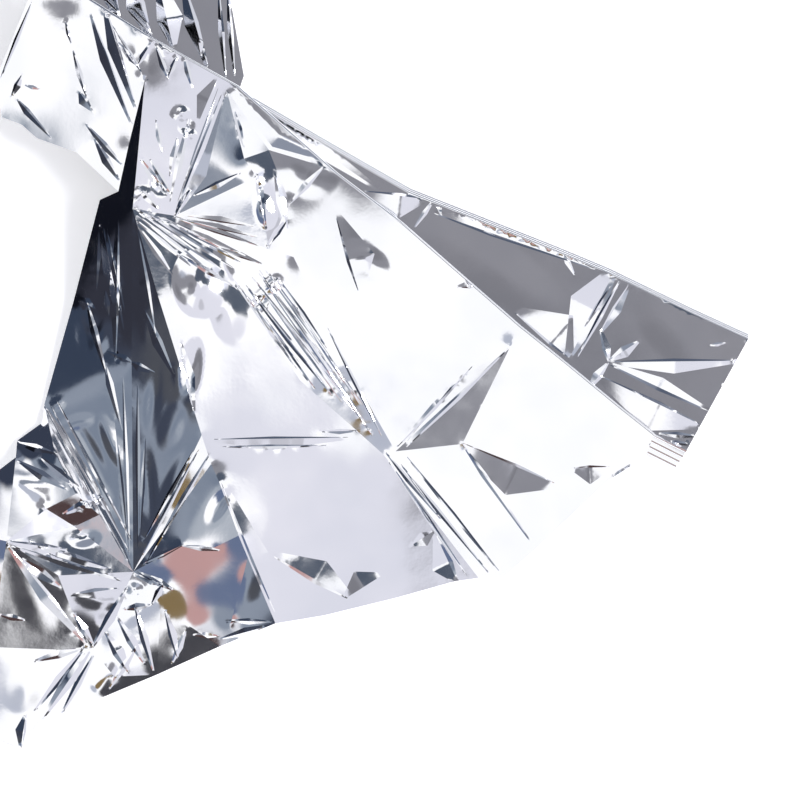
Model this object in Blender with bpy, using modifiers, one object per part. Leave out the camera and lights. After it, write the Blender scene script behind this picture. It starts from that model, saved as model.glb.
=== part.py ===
"""Emergency sleeping bag of metallised film, part unfolded and laid on a flat surface.

One heat-sealed film, made as one solid. A long narrow stack of pleats lies flat on the
surface. Its uppermost pleat turns back over the stack and opens into a fan of panels, which
ends in a crumpled corner. Plan sizes are millimetres, with +X to the right of the fan's
mouth and +Y towards the tight edge of the stack; METRE turns them into Blender's metres.
The origin is at the centre of the underside.
"""
import math

import bpy
import numpy as np
from mathutils import Vector
from mathutils.geometry import delaunay_2d_cdt

METRE = 0.001

# Film and pleat stack
FILM = 1.0
LAYERS = 7
TIGHT_PITCH = 1.3
LOOSE_PITCH = 1.6
TURN_RADIUS = 0.8
TIGHT_STAGGER = 0.7
LOOSE_STAGGER = 1.9
TURN_STEPS = 3
PANEL_STEPS = 3

# Mesh of the open film
GRID = 8.0
LINE_STEP = 7.0
STATION_STEP = 13.0
RIM_MARGIN = 2.0

# Gap between the fan's film and the panel that it lies on
REST_GAP = 0.6
REST_MARGIN = 0.1

# Name of the solid, colour and finish of its aluminium coat
NAME = "film"
SILVER = (0.80, 0.81, 0.84, 1.0)
ROUGHNESS = 0.12

# Stations of the stack, from the mouth to its hidden end. The film turns under at the fan
# line, back at the loose line, and zigzags between the loose line and the tight line.
# fan x, fan y, fan z, tight x, tight y, loose x, loose y
STATIONS = (
    (84.0, -10.5, 16.0, 116.5, 23.0, 91.5, -23.0),
    (72.0, -1.0, 16.5, 98.0, 31.5, 75.5, -15.0),
    (55.0, 13.0, 16.5, 70.0, 45.0, 53.0, -4.0),
    (40.0, 25.0, 16.5, 52.0, 52.5, 37.0, 4.0),
    (1.0, 59.0, 18.0, 4.0, 71.5, -16.5, 29.5),
    (-20.0, 75.0, 17.2, -23.0, 87.0, -41.5, 41.5),
    (-53.0, 104.0, 15.2, -53.0, 104.5, -66.0, 53.0),
    (-83.0, 120.5, 20.6, -83.5, 122.5, -80.0, 59.5),
    (-116.5, 142.0, 15.0, -114.0, 141.0, -90.5, 65.0),
)
FLAP_FROM_STATION = 6

# Named points of the fan: x, y and the film's height there
POINTS = {
    "mouth_corner": (81.0, -18.5, 15.0),
    "mouth_upper": (68.5, -26.5, 13.5),
    "mouth_mid": (44.5, -49.5, 10.3),
    "valley_end_right": (34.0, -59.0, 6.5),
    "valley_end_left": (26.0, -59.0, 5.5),
    "panel_end_a": (18.5, -60.0, 6.2),
    "panel_end_b": (-1.5, -65.5, 8.2),
    "panel_end_c": (-25.0, -71.0, 12.0),
    "ridge_end": (-41.0, -73.5, 14.2),
    "corner_end_a": (-60.0, -82.0, 1.8),
    "corner_end_b": (-81.0, -91.5, 0.8),
    "corner_end_c": (-105.0, -101.5, 1.2),
    "corner_end_d": (-120.0, -107.0, 0.8),
    "corner_tip": (-126.0, -116.0, 0.6),
    "held_low": (-137.0, -112.0, 0.6),
    "held_mid": (-155.0, -104.0, 0.6),
    "held_outer": (-163.0, -80.0, 3.5),
    "held_high": (-160.0, -40.0, 7.5),
    "held_top": (-146.0, -26.0, 5.0),
    "corner_top_a": (-133.5, -23.5, 4.0),
    "corner_top_b": (-127.5, -19.0, 5.0),
    "corner_top_c": (-127.5, -13.5, 1.0),
    "corner_top_d": (-119.0, -7.5, 2.0),
    "kite_left": (-118.5, -1.5, 0.8),
    "kite_edge": (-108.5, 33.0, 3.0),
    "kite_top": (-99.0, 66.0, 12.0),
    "fin_foot_left": (-92.5, 68.5, 16.5),
    "flap_edge_a": (-106.5, 81.5, 13.6),
    "flap_edge_b": (-120.0, 86.5, 10.5),
    "flap_tip_a": (-125.0, 91.0, 9.5),
    "flap_tip_b": (-131.5, 93.5, 8.5),
    "flap_left": (-134.0, 105.0, 10.0),
    "flap_high": (-121.5, 133.5, 15.2),
    "pinch": (-87.5, 62.5, 20.0),
    "fin_apex": (-83.5, 105.0, 19.6),
    "fin_mid": (-89.0, 84.0, 17.0),
    "second_pinch": (-74.0, 60.5, 16.5),
    "ridge_a": (-79.0, 33.5, 20.5),
    "ridge_b": (-65.0, -11.5, 18.5),
    "ridge_c": (-59.5, -26.5, 17.5),
    "kite_star": (-88.5, 12.5, 12.0),
    "kite_low": (-88.5, -57.0, 5.0),
    "kite_low_right": (-80.0, -41.5, 10.4),
    "valley_a": (-50.0, 33.5, 14.0),
    "valley_b": (-33.0, 6.5, 11.8),
    "valley_c": (-5.5, -18.0, 7.6),
    "swell_a": (-35.0, 47.0, 15.0),
    "swell_b": (-18.0, 12.0, 13.2),
    "valley_d": (-1.5, -17.0, 7.9),
    "knot": (-57.0, 102.0, 15.4),
    "crest_a": (-28.0, 77.5, 17.0),
    "crest_b": (-43.0, 82.0, 17.6),
    "crest_c": (-51.0, 79.0, 20.0),
    "crest_d": (-64.0, 82.5, 15.6),
    "crest_e": (-47.0, 73.0, 20.4),
    "crest_f": (-36.5, 65.5, 17.2),
    "crest_g": (-43.0, 49.5, 16.0),
    "spear_tip": (36.5, 18.0, 15.0),
    "spear_base": (20.5, -14.5, 12.1),
    "star_held": (-129.5, -46.5, 14.0),
    "star_low": (-102.5, -82.5, 3.0),
    "wave_a": (-72.0, -48.0, 12.5),
    "wave_b": (-61.0, -48.5, 14.5),
    "wave_top": (-62.0, -21.0, 17.0),
    "valley_m": (-15.0, -9.5, 8.6),
    "lens_mid": (-40.0, -14.5, 13.4),
    "wave_c": (-53.0, -44.5, 17.2),
    "loop": (-79.0, -63.0, 6.8),
    "pink_low": (-70.0, -75.0, 4.2),
    "lens_low": (-56.0, -74.0, 8.5),
    "eye_left": (-117.0, -36.0, 9.0),
    "eye_top": (-107.0, -31.0, 11.5),
    "eye_right": (-99.5, -38.0, 8.5),
    "eye_low": (-108.0, -42.0, 5.0),
    "sweep": (-114.0, -17.5, 9.5),
    "grey_mid": (-113.0, -58.0, 9.5),
    "quad_low": (-113.0, -83.0, 3.2),
    "quad_left": (-136.0, -82.0, 4.6),
    "leaf": (-109.0, -69.0, 7.0),
    "dark_tip": (-97.0, -75.0, 4.5),
    "facet_low": (-95.0, -92.0, 2.6),
    "stripe_a": (-58.0, 55.5, 16.4),
    "pink_mid": (-66.0, -61.0, 8.6),
    "pink_left": (-79.0, -58.0, 7.2),
    "blue_top": (-61.0, -55.0, 11.9),
    "ridge_m": (-50.0, -51.8, 16.1),
}

# Outline of the fan from the mouth's end of the fan line to the hidden end
OUTLINE = (
    "mouth_corner", "mouth_upper", "mouth_mid", "valley_end_right", "valley_end_left",
    "panel_end_a", "panel_end_b", "panel_end_c", "ridge_end", "corner_end_a",
    "corner_end_b", "corner_end_c", "corner_end_d", "corner_tip", "held_low",
    "held_mid", "held_outer", "held_high", "held_top", "corner_top_a", "corner_top_b",
    "corner_top_c", "corner_top_d", "kite_left", "kite_edge", "kite_top",
    "fin_foot_left", "flap_edge_a", "flap_edge_b", "flap_tip_a", "flap_tip_b",
    "flap_left", "flap_high",
)

# Creases of the fan, each a chain of named points
CREASES = (
    ("pinch", "ridge_a", "ridge_b", "wave_top", "ridge_c", "wave_c", "ridge_m", "ridge_end"),
    ("pinch", "valley_a", "valley_b", "valley_m", "valley_c", "valley_end_left"),
    ("second_pinch", "stripe_a", "crest_g", "swell_a", "swell_b", "valley_d", "valley_end_right"),
    ("pinch", "kite_star", "kite_low"),
    ("kite_left", "kite_low"),
    ("ridge_b", "kite_low_right", "kite_low"),
    ("wave_top", "kite_low"),
    ("fin_foot_left", "fin_mid", "fin_apex", "pinch"),
    ("fin_foot_left", "pinch", "second_pinch"),
    ("second_pinch", "crest_d", "knot"),
    ("second_pinch", "crest_e", "crest_c", "knot"),
    ("knot", "crest_b", "crest_a"),
    ("crest_b", "crest_c"),
    ("crest_a", "crest_f", "crest_g"),
    ("crest_b", "crest_f"),
    ("crest_e", "crest_g"),
    ("valley_d", "spear_tip", "spear_base", "valley_d"),
    ("kite_low", "wave_a", "wave_b", "wave_c"),
    ("kite_low", "loop", "corner_end_b"),
    ("ridge_m", "lens_low"),
    ("pink_low", "corner_end_a"),
    ("kite_low", "eye_low", "star_held"),
    ("kite_low", "grey_mid", "star_held"),
    ("eye_low", "eye_left", "eye_top", "eye_right", "eye_low"),
    ("eye_top", "sweep", "corner_top_c"),
    ("sweep", "kite_left"),
    ("eye_right", "kite_low"),
    ("star_held", "eye_left"),
    ("star_held", "star_low"),
    ("grey_mid", "leaf", "star_low"),
    ("quad_low", "quad_left"),
    ("quad_low", "star_low"),
    ("quad_low", "corner_end_d"),
    ("kite_low", "dark_tip", "star_low"),
    ("leaf", "kite_low"),
    ("star_low", "facet_low", "corner_end_b"),
    ("star_low", "corner_end_c"),
    ("star_held", "corner_top_b"),
    ("star_held", "quad_left"),
    ("star_held", "held_high"),
    ("kite_left", "kite_star", "ridge_b"),
    ("ridge_b", "lens_mid", "valley_m"),
    ("wave_a", "blue_top"),
    ("kite_low", "pink_left", "pink_mid", "blue_top", "ridge_m"),
    ("loop", "pink_low", "pink_mid", "lens_low", "ridge_end"),
)

# Ridges, and troughs below zero, raised on the fan's panels
# from x, from y, to x, to y, height, half width
RIDGES = (
    (57.0, -22.5, 69.0, -22.0, -0.8, 4.0),
    (21.5, -16.0, 50.0, -31.5, 1.4, 7.0),
    (-43.0, -50.0, -6.0, -58.0, -1.5, 7.0),
    (-20.0, 59.0, -9.0, 41.0, 1.2, 6.0),
    (-54.0, 38.0, -28.0, 3.5, -1.0, 3.0),
    (-46.5, 41.0, -9.0, -10.0, 0.9, 3.0),
    (-83.0, 60.0, -56.0, 42.0, 1.2, 3.5),
    (-76.0, 62.0, -78.0, 110.0, 1.4, 4.0),
    (-98.0, 125.0, -90.0, 94.0, -1.4, 3.5),
    (-120.0, 125.0, -110.0, 92.0, 1.2, 6.0),
    (-99.0, 60.0, -101.0, 12.0, 1.2, 4.0),
    (-92.0, 6.0, -100.0, -26.0, 1.0, 4.0),
    (-86.0, 6.0, -78.0, -34.0, 1.0, 4.0),
    (-69.0, 42.0, -60.0, 24.0, -1.4, 6.0),
    (-71.0, 18.0, -67.5, -2.0, -1.2, 3.0),
    (0.0, -21.0, 29.0, -56.0, 1.0, 3.0),
    (-122.0, -20.0, -110.0, -29.0, 1.0, 3.5),
    (-103.0, -84.0, -118.0, -105.0, 1.4, 4.0),
    (-88.0, -68.0, -83.0, -88.0, 1.4, 3.5),
    (-126.0, -60.0, -116.0, -78.0, -1.2, 5.0),
    (-132.0, -92.0, -114.0, -96.0, 1.2, 5.0),
    (-67.0, -30.0, -75.0, -42.0, 1.0, 3.5),
    (-57.0, -52.0, -48.0, -66.0, 1.0, 4.0),
)

# Free outline of the flap that runs out of the stack's lowest pleat, with its heights
FLAP_OUTLINE = (
    (-113.0, 147.0, 0.6),
    (-104.0, 160.0, 0.6),
    (-80.0, 163.0, 2.5),
    (-59.5, 158.0, 0.6),
    (-56.5, 133.5, 0.6),
    (-52.0, 108.0, 0.6),
)
# from x, from y, to x, to y, height, half width
FLAP_RIDGES = (
    (-62.5, 115.0, -66.0, 157.0, 3.0, 4.0),
    (-79.0, 124.0, -80.0, 159.0, 4.0, 6.0),
    (-94.5, 134.0, -93.0, 158.0, 3.0, 5.0),
)


def clear_scene():
    for old in list(bpy.data.objects):
        bpy.data.objects.remove(old)


def silver_film():
    material = bpy.data.materials.new("metallised_film")
    material.use_nodes = True
    shader = material.node_tree.nodes["Principled BSDF"]
    shader.inputs["Base Color"].default_value = SILVER
    shader.inputs["Metallic"].default_value = 1.0
    shader.inputs["Roughness"].default_value = ROUGHNESS
    return material


def subdivided(points, step):
    """Points along a chain, no further apart than step, with the chain's own points kept."""
    chain = [np.array(points[0], float)]
    for start, end in zip(points[:-1], points[1:]):
        start = np.array(start, float)
        end = np.array(end, float)
        count = max(1, math.ceil(np.linalg.norm((end - start)[:2]) / step))
        for part in range(1, count + 1):
            chain.append(start + (end - start) * part / count)
    return chain


def station_rows():
    """Stations at an even step, each as fan (x, y, z), tight (x, y) and loose (x, y)."""
    rows = []
    flap_row = 0
    for index, (start, end) in enumerate(zip(STATIONS[:-1], STATIONS[1:])):
        start = np.array(start)
        end = np.array(end)
        count = max(1, math.ceil(np.linalg.norm((end - start)[3:5]) / STATION_STEP))
        if index == FLAP_FROM_STATION:
            flap_row = len(rows)
        rows += [start + (end - start) * part / count for part in range(count)]
    rows.append(np.array(STATIONS[-1]))
    rows = np.array(rows)
    return rows[:, 0:3], rows[:, 3:5], rows[:, 5:7], flap_row


def side_directions(line, inside):
    """Unit plan directions across a line at each of its points, away from the inside."""
    along = np.gradient(line[:, :2], axis=0)
    across = np.stack([-along[:, 1], along[:, 0]], axis=1)
    across /= np.linalg.norm(across, axis=1)[:, None]
    outward = np.sign(np.sum(across * (line[:, :2] - inside[:, :2]), axis=1).sum())
    return across * outward


def relief(x, y, ridges):
    """Height of the ridges at a point: a tent across each line, tapered to its ends."""
    total = 0.0
    for from_x, from_y, to_x, to_y, height, half_width in ridges:
        length_sq = (to_x - from_x) ** 2 + (to_y - from_y) ** 2
        along = ((x - from_x) * (to_x - from_x) + (y - from_y) * (to_y - from_y)) / length_sq
        if not 0.0 < along < 1.0:
            continue
        gap = math.hypot(x - from_x - along * (to_x - from_x), y - from_y - along * (to_y - from_y))
        if gap < half_width:
            total += height * (1.0 - gap / half_width) * math.sin(math.pi * along)
    return total


def inside(x, y, rim):
    """Whether a point lies in a closed outline, by counting the sides to its right."""
    crossings = 0
    for start, end in zip(rim, rim[1:] + rim[:1]):
        if (start.y > y) != (end.y > y):
            crossings += x < start.x + (end.x - start.x) * (y - start.y) / (end.y - start.y)
    return crossings % 2 == 1


def rim_distance(place, rim):
    """Plan distance from a point to the nearest side of a closed outline."""
    nearest = math.inf
    for start, end in zip(rim, rim[1:] + rim[:1]):
        start = Vector(start[:2])
        side = Vector(end[:2]) - start
        along = min(max((place - start).dot(side) / side.length_squared, 0.0), 1.0)
        nearest = min(nearest, (place - start - side * along).length)
    return nearest


def triangulated(plan, edges, rim):
    """Triangles of plan points inside a rim, which keep the rim and the edges as sides."""
    rim_edges = list(zip(rim, rim[1:] + rim[:1]))
    made, _, faces, origins, _, _ = delaunay_2d_cdt(plan, rim_edges + edges, [], 0, 1e-4, True)
    outline = [plan[index] for index in rim]
    kept = []
    for face in faces:
        middle = sum((made[corner] for corner in face), Vector((0.0, 0.0))) / 3
        if inside(middle.x, middle.y, outline):
            kept.append(face)
    return made, kept, origins


class Surface:
    """Mid surface of the film, gathered as shared points and faces."""

    def __init__(self):
        self.points = []
        self.faces = []

    def add(self, x, y, z):
        self.points.append((x, y, z))
        return len(self.points) - 1

    def add_patch(self, rim, rim_ids, lines, height):
        """Triangulate the inside of a rim, on its lines and on an even grid of points.

        The rim's points that have an id are already in the surface and are shared."""
        plan = [Vector(point[:2]) for point in rim]
        ids = list(rim_ids)
        edges = []
        for line in lines:
            chain = []
            for point in subdivided(line, LINE_STEP):
                place = Vector(point[:2])
                near = min(range(len(plan)), key=lambda i: (plan[i] - place).length)
                if (plan[near] - place).length < RIM_MARGIN:
                    chain.append(near)
                elif rim_distance(place, rim) > RIM_MARGIN:
                    chain.append(len(plan))
                    plan.append(place)
                    ids.append(None)
            edges += [pair for pair in zip(chain[:-1], chain[1:]) if pair[0] != pair[1]]
        fixed = np.array([tuple(point) for point in plan])
        low = fixed.min(axis=0)
        high = fixed.max(axis=0)
        for row, y in enumerate(np.arange(low[1], high[1], GRID * 0.866)):
            for x in np.arange(low[0] + (row % 2) * GRID / 2, high[0], GRID):
                if np.min(np.hypot(fixed[:, 0] - x, fixed[:, 1] - y)) > GRID * 0.6:
                    plan.append(Vector((x, y)))
                    ids.append(None)
        made, faces, origins = triangulated(plan, edges, list(range(len(rim))))
        new_ids = []
        for place, sources in zip(made, origins):
            known = [ids[source] for source in sources if ids[source] is not None]
            if known:
                new_ids.append(known[0])
            else:
                new_ids.append(self.add(place.x, place.y, height(place.x, place.y)))
        self.faces += [tuple(new_ids[corner] for corner in face) for face in faces]

    def corners(self, faces):
        return np.array([[self.points[index] for index in face] for face in faces])


def turn(surface, centre, outward, radius, middle):
    """Points round a fold, from its upper panel to its lower one."""
    ids = []
    for step in range(TURN_STEPS + 1):
        angle = math.pi * (0.5 - step / TURN_STEPS)
        reach = radius * math.cos(angle)
        x, y = centre + outward * reach
        ids.append(surface.add(x, y, middle + radius * math.sin(angle)))
    return ids


def build_stack(surface):
    """The pleat stack, the panel above it and the fold up to the fan.

    It gives the ids of the fan line's points and of the lowest pleat's free edge, and the
    triangles of the panel that the fan lies on."""
    fan, tight, loose, flap_row = station_rows()
    fan_out = side_directions(fan, loose)
    tight_out = side_directions(tight, loose)
    loose_out = side_directions(loose, tight)
    fan_ids = []
    free_ids = []
    rows = []
    for row in range(len(fan)):
        centre = fan[row, :2] - fan_out[row] * (TURN_RADIUS + FILM / 2)
        ids = turn(surface, centre, fan_out[row], TURN_RADIUS, fan[row, 2] - TURN_RADIUS)
        fan_ids.append(ids[0])
        for layer in range(LAYERS + 1, 0, -1):
            start = np.array(surface.points[ids[-1]])
            to_loose = (LAYERS + 1 - layer) % 2 == 0
            if layer == 1:
                end = np.array([*(tight[row] - tight_out[row] * FILM), FILM / 2])
            else:
                pitch = LOOSE_PITCH if to_loose else TIGHT_PITCH
                line = loose if to_loose else tight
                out = loose_out if to_loose else tight_out
                inset = (LOOSE_STAGGER if to_loose else TIGHT_STAGGER) * ((layer - 1) // 2)
                centre = line[row] - out[row] * (pitch / 2 + FILM / 2 + inset)
                middle = FILM / 2 + (layer - 1.5) * pitch
                end = np.array([*centre, middle + pitch / 2])
            for part in range(1, PANEL_STEPS):
                ids.append(surface.add(*(start + (end - start) * part / PANEL_STEPS)))
            if layer == 1:
                ids.append(surface.add(*end))
            else:
                ids += turn(surface, centre, out[row], pitch / 2, middle)
        free_ids.append(ids[-1])
        rows.append(ids)
    for lower, upper in zip(rows[:-1], rows[1:]):
        for a, b, c, d in zip(lower[:-1], lower[1:], upper[1:], upper[:-1]):
            surface.faces.append((a, b, c, d))
    under = []
    for lower, upper in zip(rows[:-1], rows[1:]):
        near, far = TURN_STEPS, TURN_STEPS + PANEL_STEPS
        under.append((lower[near], upper[far], lower[far]))
        under.append((lower[near], upper[near], upper[far]))
    return fan_ids, free_ids[flap_row:], surface.corners(under)


def network(surface, rim_ids):
    """Triangles of the fan's named points, on which its film lies between creases."""
    named = [surface.points[index] for index in rim_ids]
    first = len(named)
    named += [POINTS[name] for name in POINTS]
    place_of = {name: first + order for order, name in enumerate(POINTS)}
    rim = list(range(first)) + [place_of[name] for name in reversed(OUTLINE)]
    edges = []
    for crease in CREASES:
        chain = [place_of[name] for name in crease]
        edges += list(zip(chain[:-1], chain[1:]))
    made, faces, origins = triangulated([Vector(point[:2]) for point in named], edges, rim)
    heights = [named[sources[0]][2] if sources else 0.0 for sources in origins]
    corners = np.array([[(made[i].x, made[i].y, heights[i]) for i in face] for face in faces])
    return corners


def height_on(corners, x, y):
    """Height above a point of a sheet of triangles, and how far inside them it lies."""
    a, b, c = corners[:, 0], corners[:, 1], corners[:, 2]
    area = (b[:, 0] - a[:, 0]) * (c[:, 1] - a[:, 1]) - (c[:, 0] - a[:, 0]) * (b[:, 1] - a[:, 1])
    u = ((b[:, 0] - x) * (c[:, 1] - y) - (c[:, 0] - x) * (b[:, 1] - y)) / area
    v = ((c[:, 0] - x) * (a[:, 1] - y) - (a[:, 0] - x) * (c[:, 1] - y)) / area
    weights = np.stack([u, v, 1.0 - u - v], axis=1)
    best = np.argmax(weights.min(axis=1))
    share = np.clip(weights[best], 0.0, 1.0)
    return float(share @ corners[best, :, 2] / share.sum()), weights[best].min()


def build_fan(surface, fan_ids, under):
    corners = network(surface, fan_ids)

    def height(x, y):
        lies_on, covered = height_on(under, x, y)
        height_here = height_on(corners, x, y)[0] + relief(x, y, RIDGES)
        if covered > -REST_MARGIN:
            return max(height_here, lies_on + FILM + REST_GAP)
        return max(height_here, FILM / 2)

    fan_line = [surface.points[index] for index in fan_ids]
    free_rim = [fan_line[-1]] + [POINTS[name] for name in reversed(OUTLINE)] + [fan_line[0]]
    free_rim = subdivided(free_rim, LINE_STEP)[1:-1]
    rim = fan_line + free_rim
    rim_ids = fan_ids + [None] * len(free_rim)
    lines = [[POINTS[name] for name in crease] for crease in CREASES]
    lines += [[row[0:2], row[2:4]] for row in RIDGES]
    surface.add_patch(rim, rim_ids, lines, height)


def build_flap(surface, free_ids):
    joined = [surface.points[index] for index in free_ids]
    free_rim = subdivided([joined[-1], *FLAP_OUTLINE, joined[0]], LINE_STEP)[1:-1]
    rim = joined + free_rim
    rim_ids = free_ids + [None] * len(free_rim)
    lines = [[row[0:2], row[2:4]] for row in FLAP_RIDGES]
    surface.add_patch(rim, rim_ids, lines, lambda x, y: (
        FILM / 2 + relief(x, y, FLAP_RIDGES)))


def make_film(collection):
    surface = Surface()
    fan_ids, free_ids, under = build_stack(surface)
    build_fan(surface, fan_ids, under)
    build_flap(surface, free_ids)
    points = np.array(surface.points)
    middle = (points.min(axis=0) + points.max(axis=0)) / 2
    points -= (middle[0], middle[1], 0.0)
    mesh = bpy.data.meshes.new(NAME)
    mesh.from_pydata((points * METRE).tolist(), [], surface.faces)
    film = bpy.data.objects.new(NAME, mesh)
    film.data.materials.append(silver_film())
    collection.objects.link(film)
    solidify = film.modifiers.new("thickness", "SOLIDIFY")
    solidify.thickness = FILM * METRE
    solidify.offset = 0.0
    return film


clear_scene()
bag = bpy.data.collections.new("emergency_sleeping_bag")
bpy.context.scene.collection.children.link(bag)
make_film(bag)
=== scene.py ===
"""Looks of the emergency sleeping bag: one metallised film on the folds of its solid.

The film is a thin sheet with the solid's stack, fan and flap, and with the finer creases of
the real thing. Plan sizes are millimetres, as in the solid; METRE turns them into metres.
"""
import math

import bpy
import numpy as np
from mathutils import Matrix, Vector, kdtree
from mathutils.geometry import delaunay_2d_cdt


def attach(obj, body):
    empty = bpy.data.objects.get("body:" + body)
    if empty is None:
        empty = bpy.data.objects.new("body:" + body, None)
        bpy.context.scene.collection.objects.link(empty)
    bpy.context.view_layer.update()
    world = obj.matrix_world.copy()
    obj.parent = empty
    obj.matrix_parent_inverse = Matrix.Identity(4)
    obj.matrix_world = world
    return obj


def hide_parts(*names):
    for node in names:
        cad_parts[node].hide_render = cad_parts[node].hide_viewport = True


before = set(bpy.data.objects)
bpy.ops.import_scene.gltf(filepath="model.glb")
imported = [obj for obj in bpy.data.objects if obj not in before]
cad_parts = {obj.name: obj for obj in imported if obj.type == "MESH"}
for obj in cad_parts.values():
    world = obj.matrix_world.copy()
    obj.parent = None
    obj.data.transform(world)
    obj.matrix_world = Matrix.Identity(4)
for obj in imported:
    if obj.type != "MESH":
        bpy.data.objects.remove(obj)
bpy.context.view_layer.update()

METRE = 0.001

# Film and pleat stack, as in the solid
FILM = 1.0
LAYERS = 7
TIGHT_PITCH = 1.3
LOOSE_PITCH = 1.6
TURN_RADIUS = 0.8
TIGHT_STAGGER = 0.7
LOOSE_STAGGER = 1.9
REST_GAP = 0.6

# Mesh of the film: even grids, steps along creases and round folds
GRID = 1.1
HIDDEN_GRID = 6.0
LINE_STEP = 1.1
STATION_STEP = 4.0
TURN_STEPS = 8
PANEL_STEPS = 4
RIM_MARGIN = 0.4
# Shares of a grid step: between its rows, clear of the lines, and round a coarse grid's points
ROW_SHARE = 0.866
CLEARANCE = 0.5
COARSE_REACH = 0.6
# Points closer than this merge, and a flat triangle's area and a point's pull are at least
# the smallest number, a pull at most the strongest
MERGE_DISTANCE = 1e-4
SMALLEST = 1e-6
STRONGEST_PULL = 20.0
RELAX_ROUNDS = 45

# Share of a fold's width that is left at its two ends
END_WIDTH = 0.2
# The fan stays clear of the stack as far as this past its edge, as a share of a triangle
STACK_MARGIN = 0.1
# The top pleat's mesh is coarse this far behind the fan line, and left of this x
HIDDEN_BEHIND = 5.0
HIDDEN_UNTIL_X = 78.0

# Stations of the stack, from the mouth to its hidden end
# fan x, fan y, fan z, tight x, tight y, loose x, loose y
STATIONS = (
    (84.0, -10.5, 16.0, 116.5, 23.0, 91.5, -23.0),
    (72.0, -1.0, 16.5, 98.0, 31.5, 75.5, -15.0),
    (55.0, 13.0, 16.5, 70.0, 45.0, 53.0, -4.0),
    (40.0, 25.0, 16.5, 52.0, 52.5, 37.0, 4.0),
    (1.0, 59.0, 18.0, 4.0, 71.5, -16.5, 29.5),
    (-20.0, 75.0, 17.2, -23.0, 87.0, -41.5, 41.5),
    (-53.0, 104.0, 15.2, -53.0, 104.5, -66.0, 53.0),
    (-83.0, 120.5, 20.6, -83.5, 122.5, -80.0, 59.5),
    (-116.5, 142.0, 15.0, -114.0, 141.0, -90.5, 65.0),
)
FLAP_FROM_STATION = 6

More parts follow.
